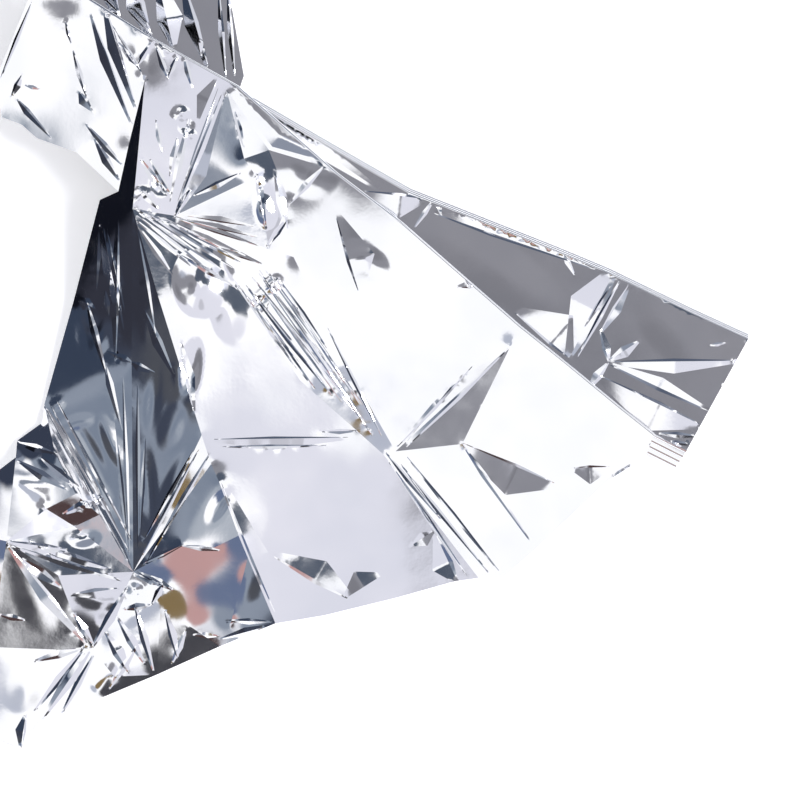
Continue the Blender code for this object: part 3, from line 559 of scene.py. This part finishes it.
# Floor: size and drop below the film in metres, colour, roughness and glow
FLOOR_SIZE = 4.0
FLOOR_DROP = 0.0005
FLOOR_COLOUR = (0.93, 0.93, 0.94, 1.0)
FLOOR_ROUGHNESS = 0.9
FLOOR_GLOW = 0.4

# Studio light: power in watts, size and place in metres
LIGHT_POWER = 30.0
LIGHT_SIZE = 0.7
LIGHT_PLACE = (1.5, 0.1, 1.35)


def subdivided(points, step):
    """Points along a chain, no further apart than step, with the chain's own points kept."""
    chain = [np.array(points[0], float)]
    for start, end in zip(points[:-1], points[1:]):
        start = np.array(start, float)
        end = np.array(end, float)
        count = max(1, math.ceil(np.linalg.norm((end - start)[:2]) / step))
        for part in range(1, count + 1):
            chain.append(start + (end - start) * part / count)
    return chain


def station_rows():
    """Stations at an even step, each as fan (x, y, z), tight (x, y) and loose (x, y)."""
    rows = []
    flap_row = 0
    for index, (start, end) in enumerate(zip(STATIONS[:-1], STATIONS[1:])):
        start = np.array(start)
        end = np.array(end)
        count = max(1, math.ceil(np.linalg.norm((end - start)[3:5]) / STATION_STEP))
        if index == FLAP_FROM_STATION:
            flap_row = len(rows)
        rows += [start + (end - start) * part / count for part in range(count)]
    rows.append(np.array(STATIONS[-1]))
    rows = np.array(rows)
    return rows[:, 0:3], rows[:, 3:5], rows[:, 5:7], flap_row


def side_directions(line, other):
    """Unit plan directions across a line at each of its points, away from the other line."""
    along = np.gradient(line[:, :2], axis=0)
    across = np.stack([-along[:, 1], along[:, 0]], axis=1)
    across /= np.linalg.norm(across, axis=1)[:, None]
    outward = np.sign(np.sum(across * (line[:, :2] - other[:, :2]), axis=1).sum())
    return across * outward


def folds_height(plan, folds):
    """Height of a table of folds at plan points."""
    total = np.zeros(len(plan))
    for from_x, from_y, to_x, to_y, height, left, right, peak in folds:
        run = np.array([to_x - from_x, to_y - from_y])
        length = np.linalg.norm(run)
        run /= length
        offset = plan - (from_x, from_y)
        along = offset @ run / length
        aside = offset @ np.array([-run[1], run[0]])
        rise = np.clip(np.minimum(along / peak, (1.0 - along) / (1.0 - peak)), 0.0, 1.0)
        share = END_WIDTH + (1.0 - END_WIDTH) * rise
        width = np.where(aside > 0.0, left, right) * share
        total += height * rise * np.clip(1.0 - np.abs(aside) / width, 0.0, 1.0)
    return total


def dents_height(plan, dents):
    """Height of a table of soft dents and bulges at plan points."""
    total = np.zeros(len(plan))
    for x, y, height, half_length, half_width, direction in dents:
        angle = math.radians(direction)
        offset = plan - (x, y)
        along = offset @ np.array([math.cos(angle), math.sin(angle)]) / half_length
        aside = offset @ np.array([-math.sin(angle), math.cos(angle)]) / half_width
        total += height * np.clip(1.0 - along ** 2 - aside ** 2, 0.0, 1.0) ** 2
    return total


def fold_lines(folds):
    """Crest and feet of each fold, as lines for the mesh to follow."""
    lines = []
    for from_x, from_y, to_x, to_y, _, left, right, peak in folds:
        start = np.array([from_x, from_y])
        end = np.array([to_x, to_y])
        run = (end - start) / np.linalg.norm(end - start)
        across = np.array([-run[1], run[0]])
        top = start + (end - start) * peak
        lines.append([start, end])
        for side, width in ((across, left), (-across, right)):
            near_start = start + side * width * END_WIDTH
            near_end = end + side * width * END_WIDTH
            lines.append([near_start, top + side * width, near_end])
    return lines


def inside(plan, rim):
    """Which plan points lie in a closed outline, by counting the sides to their right."""
    crossings = np.zeros(len(plan), int)
    x, y = plan[:, 0], plan[:, 1]
    for start, end in zip(rim, np.roll(rim, -1, axis=0)):
        spans = (start[1] > y) != (end[1] > y)
        rise = end[1] - start[1] if end[1] != start[1] else 1.0
        crossings += spans & (x < start[0] + (end[0] - start[0]) * (y - start[1]) / rise)
    return crossings % 2 == 1


def triangulated(plan, edges, rim):
    """Triangles of plan points inside a rim, which keep the rim and the edges as sides.

    The sides that keep one of the edges are given too."""
    sides = list(zip(rim, rim[1:] + rim[:1])) + edges
    vectors = [Vector(point) for point in plan]
    result = delaunay_2d_cdt(vectors, sides, [], 0, MERGE_DISTANCE, True)
    made, pairs, faces, origins, sources, _ = result
    made = np.array([tuple(point) for point in made])
    faces = np.array(faces)
    outline = np.array([plan[index] for index in rim])
    kept = inside(made[faces].mean(axis=1), outline)
    folded = [pair for pair, source in zip(pairs, sources) if source and min(source) >= len(rim)]
    return made, faces[kept], origins, folded


def rim_distance(places, rim):
    """Plan distance from each place to the nearest side of a closed outline."""
    gap = np.full(len(places), np.inf)
    for start, end in zip(rim, np.roll(rim, -1, axis=0)):
        side = end - start
        along = np.clip((places - start) @ side / (side @ side), 0.0, 1.0)
        gap = np.minimum(gap, np.linalg.norm(places - start - along[:, None] * side, axis=1))
    return gap


def heights_on(corners, plan):
    """Heights of plan points on a sheet of triangles, and how far inside them each lies."""
    best = np.full(len(plan), -np.inf)
    height = np.zeros(len(plan))
    x, y = plan[:, 0], plan[:, 1]
    for a, b, c in corners:
        area = (b[0] - a[0]) * (c[1] - a[1]) - (c[0] - a[0]) * (b[1] - a[1])
        u = ((b[0] - x) * (c[1] - y) - (c[0] - x) * (b[1] - y)) / area
        v = ((c[0] - x) * (a[1] - y) - (a[0] - x) * (c[1] - y)) / area
        weights = np.stack([u, v, 1.0 - u - v], axis=1)
        share = np.clip(weights, 0.0, 1.0)
        here = share @ np.array([a[2], b[2], c[2]]) / share.sum(axis=1)
        margin = weights.min(axis=1)
        better = margin > best
        best = np.where(better, margin, best)
        height = np.where(better, here, height)
    return height, best


def relaxed(heights, plan, faces, held):
    """Heights drawn even between the held points, as a stretched film is.

    Each side of a triangle pulls by the cotangent of the angle across from it, so that a
    slope stays a slope where the triangles are uneven."""
    starts, ends, pulls = [], [], []
    for corner in range(3):
        start, end, apex = (faces[:, (corner + step) % 3] for step in range(3))
        one, other = plan[start] - plan[apex], plan[end] - plan[apex]
        area = np.abs(one[:, 0] * other[:, 1] - one[:, 1] * other[:, 0]).clip(SMALLEST)
        starts += [start, end]
        ends += [end, start]
        pulls += [(np.sum(one * other, axis=1) / area).clip(0.0, STRONGEST_PULL)] * 2
    starts, ends, pulls = (np.concatenate(part) for part in (starts, ends, pulls))
    count = np.bincount(starts, pulls, len(heights)).clip(SMALLEST)
    for _ in range(RELAX_ROUNDS):
        total = np.bincount(starts, pulls * heights[ends], len(heights))
        heights = np.where(held, heights, total / count)
    return heights


class Surface:
    """Mid surface of the film, gathered as shared points and faces."""

    def __init__(self):
        self.points = []
        self.faces = []
        self.creases = []

    def add(self, x, y, z):
        """Add a point and give its number."""
        self.points.append((float(x), float(y), float(z)))
        return len(self.points) - 1

    def add_patch(self, rim, rim_ids, lines, height, grid):
        """Triangulate the inside of a rim, on its lines and on a grid of points.

        The rim's points that have an id are already in the surface and are shared. The grid
        is a function that says how far apart its points are at a place. The first lines, in
        lines[0], are creases that the height function may hold still."""
        plan = [tuple(point[:2]) for point in rim]
        ids = list(rim_ids)
        rim_plan = np.array(plan)
        on_crease = [True] * len(plan)
        edges = []
        tree = kdtree.KDTree(len(plan))
        for index, place in enumerate(plan):
            tree.insert((*place, 0.0), index)
        tree.balance()
        for group, group_lines in enumerate(lines):
            for line in group_lines:
                places = np.array([point[:2] for point in subdivided(line, LINE_STEP)])
                free = inside(places, rim_plan) & (rim_distance(places, rim_plan) > RIM_MARGIN)
                chain = []
                for place, is_free in zip(places, free):
                    _, near, gap = tree.find((*place, 0.0))
                    if gap < RIM_MARGIN:
                        chain.append(near)
                    elif is_free:
                        chain.append(len(plan))
                        plan.append(tuple(place))
                        ids.append(None)
                        on_crease.append(group == 0)
                    else:
                        chain.append(None)
                edges += [pair for pair in zip(chain[:-1], chain[1:])
                          if None not in pair and pair[0] != pair[1]]
        fixed = kdtree.KDTree(len(plan))
        for index, place in enumerate(plan):
            fixed.insert((*place, 0.0), index)
        fixed.balance()
        low = rim_plan.min(axis=0)
        high = rim_plan.max(axis=0)
        cells = []
        for row, y in enumerate(np.arange(low[1], high[1], GRID * ROW_SHARE)):
            for x in np.arange(low[0] + (row % 2) * GRID / 2, high[0], GRID):
                cells.append((x, y))
        cells = np.array(cells)
        cells = cells[inside(cells, rim_plan)]
        coarse = grid(cells) > GRID
        whole = np.round(cells / HIDDEN_GRID)
        on_coarse = np.linalg.norm(cells - whole * HIDDEN_GRID, axis=1) < GRID * COARSE_REACH
        cells = cells[~coarse | on_coarse]
        for x, y in cells:
            if fixed.find((x, y, 0.0))[2] > GRID * CLEARANCE:
                plan.append((x, y))
                ids.append(None)
                on_crease.append(False)
        rim_order = list(range(len(rim)))
        made, faces, origins, folded = triangulated(np.array(plan), edges, rim_order)
        held = np.array([any(on_crease[source] for source in sources) for sources in origins])
        heights = height(made, faces, held)
        new_ids = []
        for place, z, sources in zip(made, heights, origins):
            known = [ids[source] for source in sources if ids[source] is not None]
            new_ids.append(known[0] if known else self.add(*place, z))
        self.faces += [tuple(new_ids[corner] for corner in face) for face in faces]
        self.creases += [(new_ids[start], new_ids[end]) for start, end in folded]

    def corners(self, faces):
        """Places of the corners of each face."""
        return np.array([[self.points[index] for index in face] for face in faces])


def turn(surface, centre, outward, radius, middle):
    """Points round a fold, from its upper panel to its lower one."""
    ids = []
    for step in range(TURN_STEPS + 1):
        angle = math.pi * (0.5 - step / TURN_STEPS)
        x, y = centre + outward * radius * math.cos(angle)
        ids.append(surface.add(x, y, middle + radius * math.sin(angle)))
    return ids


def build_stack(surface):
    """The pleat stack, the panel above it and the fold up to the fan.

    The top pleat is left open, as the two chains of points that it lies between."""
    fan, tight, loose, flap_row = station_rows()
    fan_out = side_directions(fan, loose)
    tight_out = side_directions(tight, loose)
    loose_out = side_directions(loose, tight)
    fan_ids = []
    free_ids = []
    pleat_loose = []
    pleat_tight = []
    rows = []
    for row in range(len(fan)):
        centre = fan[row, :2] - fan_out[row] * (TURN_RADIUS + FILM / 2)
        ids = turn(surface, centre, fan_out[row], TURN_RADIUS, fan[row, 2] - TURN_RADIUS)
        fan_ids.append(ids[0])
        for layer in range(LAYERS + 1, 0, -1):
            start = np.array(surface.points[ids[-1]])
            to_loose = (LAYERS + 1 - layer) % 2 == 0
            if layer == 1:
                end = np.array([*(tight[row] - tight_out[row] * FILM), FILM / 2])
            else:
                pitch = LOOSE_PITCH if to_loose else TIGHT_PITCH
                line = loose if to_loose else tight
                out = loose_out if to_loose else tight_out
                inset = (LOOSE_STAGGER if to_loose else TIGHT_STAGGER) * ((layer - 1) // 2)
                centre = line[row] - out[row] * (pitch / 2 + FILM / 2 + inset)
                middle = FILM / 2 + (layer - 1.5) * pitch
                end = np.array([*centre, middle + pitch / 2])
            if layer == LAYERS:
                pleat_loose.append(ids[-1])
                ids.append(None)
            else:
                for part in range(1, PANEL_STEPS):
                    ids.append(surface.add(*(start + (end - start) * part / PANEL_STEPS)))
            if layer == 1:
                ids.append(surface.add(*end))
            else:
                first = len(ids)
                ids += turn(surface, centre, out[row], pitch / 2, middle)
            if layer == LAYERS:
                pleat_tight.append(ids[first])
        free_ids.append(ids[-1])
        rows.append(ids)
    for lower, upper in zip(rows[:-1], rows[1:]):
        for a, b, c, d in zip(lower[:-1], lower[1:], upper[1:], upper[:-1]):
            if None not in (a, b):
                surface.faces.append((a, b, c, d))
    under = []
    near, far = TURN_STEPS, TURN_STEPS + PANEL_STEPS
    for lower, upper in zip(rows[:-1], rows[1:]):
        under.append((lower[near], upper[far], lower[far]))
        under.append((lower[near], upper[near], upper[far]))
    return fan_ids, free_ids[flap_row:], surface.corners(under), pleat_loose, pleat_tight


def network(surface, rim_ids):
    """Triangles of the fan's named points, on which its film lies between creases."""
    named = [surface.points[index] for index in rim_ids]
    first = len(named)
    named += [POINTS[name] for name in POINTS]
    place_of = {name: first + order for order, name in enumerate(POINTS)}
    rim = list(range(first)) + [place_of[name] for name in reversed(OUTLINE)]
    edges = []
    for crease in CREASES + SOFT_CREASES:
        chain = [place_of[name] for name in crease]
        edges += list(zip(chain[:-1], chain[1:]))
    plan = np.array([point[:2] for point in named])
    made, faces, origins, _ = triangulated(plan, edges, rim)
    heights = np.array([named[sources[0]][2] for sources in origins])
    return np.concatenate([made, heights[:, None]], axis=1)[faces]


def build_fan(surface, fan_ids, under):
    """The fan of panels, from its named points, creases, folds and dents.

    It rests on the stack's upper panel, whose triangles are under."""
    corners = network(surface, fan_ids)
    fan_line = [surface.points[index] for index in fan_ids]
    free_rim = [fan_line[-1]] + [POINTS[name] for name in reversed(OUTLINE)] + [fan_line[0]]
    free_rim = subdivided(free_rim, LINE_STEP)[1:-1]
    rim = fan_line + free_rim
    rim_ids = fan_ids + [None] * len(free_rim)
    creases = [[POINTS[name] for name in crease] for crease in CREASES]

    def height(plan, faces, held):
        base = relaxed(heights_on(corners, plan)[0], plan, faces, held)
        lies_on, covered = heights_on(under, plan)
        heights = base + folds_height(plan, FAN_FOLDS) + dents_height(plan, DENTS)
        floor = np.where(covered > -STACK_MARGIN, lies_on + FILM + REST_GAP, FILM / 2)
        return np.maximum(heights, floor)

    surface.add_patch(rim, rim_ids, (creases, fold_lines(FAN_FOLDS)), height,
                      lambda plan: np.full(len(plan), GRID))


def build_pleat(surface, loose_ids, tight_ids):
    """The stack's top pleat, which shows beyond the fan."""
    loose_side = [surface.points[index] for index in loose_ids]
    tight_side = [surface.points[index] for index in tight_ids]
    mouth = subdivided([loose_side[0], tight_side[0]], LINE_STEP)[1:-1]
    end = subdivided([tight_side[-1], loose_side[-1]], HIDDEN_GRID)[1:-1]
    rim = mouth + tight_side + end + loose_side[::-1]
    rim_ids = [None] * len(mouth) + tight_ids + [None] * len(end) + loose_ids[::-1]
    corners = []
    for index in range(len(loose_side) - 1):
        a, b = np.array(loose_side[index]), np.array(loose_side[index + 1])
        c, d = np.array(tight_side[index + 1]), np.array(tight_side[index])
        corners += [(a, c, b), (a, d, c)]
    fan = np.array([row[:2] for row in STATIONS])

    def hidden(plan):
        """Coarse beneath the fan, where the pleat doesn't show."""
        x_first = fan[::-1, 0]
        edge_y = np.interp(plan[:, 0], x_first, fan[::-1, 1])
        covered = (plan[:, 1] < edge_y - HIDDEN_BEHIND) & (plan[:, 0] < HIDDEN_UNTIL_X)
        return np.where(covered, HIDDEN_GRID, GRID)

    def height(plan, faces, held):
        flat = heights_on(corners, plan)[0]
        return flat + folds_height(plan, PLEAT_FOLDS) + dents_height(plan, PLEAT_DENTS)

    surface.add_patch(rim, rim_ids, ([], fold_lines(PLEAT_FOLDS)), height, hidden)


def build_flap(surface, free_ids):
    """The flap of the lowest pleat, which runs out behind the stack."""
    joined = [surface.points[index] for index in free_ids]
    free_rim = subdivided([joined[-1], *FLAP_OUTLINE, joined[0]], LINE_STEP)[1:-1]
    rim = joined + free_rim
    rim_ids = free_ids + [None] * len(free_rim)

    def height(plan, faces, held):
        return FILM / 2 + np.maximum(folds_height(plan, FLAP_FOLDS), 0.0)

    surface.add_patch(rim, rim_ids, ([], fold_lines(FLAP_FOLDS)), height,
                      lambda plan: np.full(len(plan), GRID))


def film_material():
    """Vapour-coated film: soft swells, a fine crinkle, dull rubbed patches and a faint tint."""
    material = bpy.data.materials.new("metallised_film")
    material.use_nodes = True
    nodes = material.node_tree.nodes
    links = material.node_tree.links
    shader = nodes["Principled BSDF"]
    shader.inputs["Metallic"].default_value = 1.0
    place = nodes.new("ShaderNodeTexCoord")

    def noise(scale, detail):
        node = nodes.new("ShaderNodeTexNoise")
        node.inputs["Scale"].default_value = scale
        node.inputs["Detail"].default_value = detail
        links.new(place.outputs["Object"], node.inputs["Vector"])
        return node.outputs["Fac"]

    def spread(value, low, high):
        node = nodes.new("ShaderNodeMapRange")
        node.inputs["From Min"].default_value = NOISE_SPAN[0]
        node.inputs["From Max"].default_value = NOISE_SPAN[1]
        node.inputs["To Min"].default_value = low
        node.inputs["To Max"].default_value = high
        links.new(value, node.inputs["Value"])
        return node.outputs["Result"]

    rubbed = noise(*RUBBED_PATCHES)
    links.new(spread(rubbed, *ROUGHNESS), shader.inputs["Roughness"])
    tint = nodes.new("ShaderNodeMix")
    tint.data_type = "RGBA"
    tint.inputs["A"].default_value = (*TINTS[0], 1.0)
    tint.inputs["B"].default_value = (*TINTS[1], 1.0)
    links.new(spread(noise(*TINT_PATCHES), 0.0, 1.0), tint.inputs["Factor"])
    links.new(tint.outputs["Result"], shader.inputs["Base Color"])
    normal = None
    for scale, detail, depth in BUMPS:
        bump = nodes.new("ShaderNodeBump")
        bump.inputs["Distance"].default_value = depth
        links.new(noise(scale, detail), bump.inputs["Height"])
        if normal is not None:
            links.new(normal, bump.inputs["Normal"])
        normal = bump.outputs["Normal"]
    links.new(normal, shader.inputs["Normal"])
    return material


def make_film():
    """The film's mesh, centred on the frame, and the middle that it was moved from."""
    surface = Surface()
    fan_ids, free_ids, under, pleat_loose, pleat_tight = build_stack(surface)
    surface.creases += list(zip(fan_ids[:-1], fan_ids[1:]))
    build_fan(surface, fan_ids, under)
    build_pleat(surface, pleat_loose, pleat_tight)
    build_flap(surface, free_ids)
    points = np.array(surface.points)
    middle = (points.min(axis=0) + points.max(axis=0)) / 2
    points -= (middle[0], middle[1], 0.0)
    mesh = bpy.data.meshes.new("bag_film")
    mesh.from_pydata((points * METRE).tolist(), [], surface.faces)
    mesh.shade_smooth()
    folded = {tuple(sorted(pair)) for pair in surface.creases}
    for edge in mesh.edges:
        edge.use_edge_sharp = tuple(sorted(edge.vertices)) in folded
    mesh.materials.append(film_material())
    film = bpy.data.objects.new("bag_film", mesh)
    bpy.context.scene.collection.objects.link(film)
    return film, middle


def world_light():
    """Studio seen in the film: soft-edged panels and flags, each round a direction."""
    world = bpy.data.worlds.new("studio")
    bpy.context.scene.world = world
    world.use_nodes = True
    nodes = world.node_tree.nodes
    links = world.node_tree.links
    nodes.clear()
    output = nodes.new("ShaderNodeOutputWorld")
    background = nodes.new("ShaderNodeBackground")
    place = nodes.new("ShaderNodeTexCoord")
    links.new(background.outputs[0], output.inputs[0])
    colour = None
    for tilt, compass, inner, outer, rgb in PANELS:
        towards = Vector((0.0, 0.0, 1.0))
        if tilt:
            a = math.radians(tilt)
            b = math.radians(compass)
            towards = Vector((math.sin(a) * math.cos(b), math.sin(a) * math.sin(b), math.cos(a)))
        dot = nodes.new("ShaderNodeVectorMath")
        dot.operation = "DOT_PRODUCT"
        dot.inputs[1].default_value = towards
        links.new(place.outputs["Generated"], dot.inputs[0])
        edge = nodes.new("ShaderNodeMapRange")
        edge.interpolation_type = "SMOOTHSTEP"
        edge.inputs["From Min"].default_value = math.cos(math.radians(outer))
        edge.inputs["From Max"].default_value = math.cos(math.radians(inner))
        links.new(dot.outputs["Value"], edge.inputs["Value"])
        mix = nodes.new("ShaderNodeMix")
        mix.data_type = "RGBA"
        mix.inputs["A"].default_value = (*STUDIO_WALL, 1.0)
        mix.inputs["B"].default_value = (*rgb, 1.0)
        links.new(edge.outputs["Result"], mix.inputs["Factor"])
        if colour is not None:
            links.new(colour, mix.inputs["A"])
        colour = mix.outputs["Result"]
    links.new(colour, background.inputs["Color"])


def make_floor():
    """Plain pale floor."""
    bpy.ops.mesh.primitive_plane_add(size=FLOOR_SIZE, location=(0.0, 0.0, -FLOOR_DROP))
    floor = bpy.context.object
    floor.name = "floor"
    material = bpy.data.materials.new("floor")
    material.use_nodes = True
    shader = material.node_tree.nodes["Principled BSDF"]
    shader.inputs["Base Color"].default_value = FLOOR_COLOUR
    shader.inputs["Roughness"].default_value = FLOOR_ROUGHNESS
    shader.inputs["Emission Color"].default_value = (1.0, 1.0, 1.0, 1.0)
    shader.inputs["Emission Strength"].default_value = FLOOR_GLOW
    floor.data.materials.append(material)


def make_light():
    """One soft light, out of the camera's sight."""
    data = bpy.data.lights.new("overhead", "AREA")
    data.energy = LIGHT_POWER
    data.shape = "DISK"
    data.size = LIGHT_SIZE
    light = bpy.data.objects.new("overhead", data)
    light.location = LIGHT_PLACE
    light.rotation_euler = (-light.location).to_track_quat("-Z", "Y").to_euler()
    light.visible_camera = False
    bpy.context.scene.collection.objects.link(light)


def make_camera(middle):
    """Camera straight above the photo's middle, at the photo's scale."""
    data = bpy.data.cameras.new("camera")
    data.sensor_width = SENSOR
    data.lens = SENSOR * CAMERA_HEIGHT / PICTURE_WIDTH
    camera = bpy.data.objects.new("camera", data)
    camera.location = (-middle[0] * METRE, -middle[1] * METRE, CAMERA_HEIGHT)
    bpy.context.scene.collection.objects.link(camera)
    bpy.context.scene.camera = camera


bpy.context.scene.view_settings.view_transform = "Standard"
film, middle = make_film()
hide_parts("film")
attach(film, "root")
world_light()
make_floor()
make_light()
make_camera(middle)
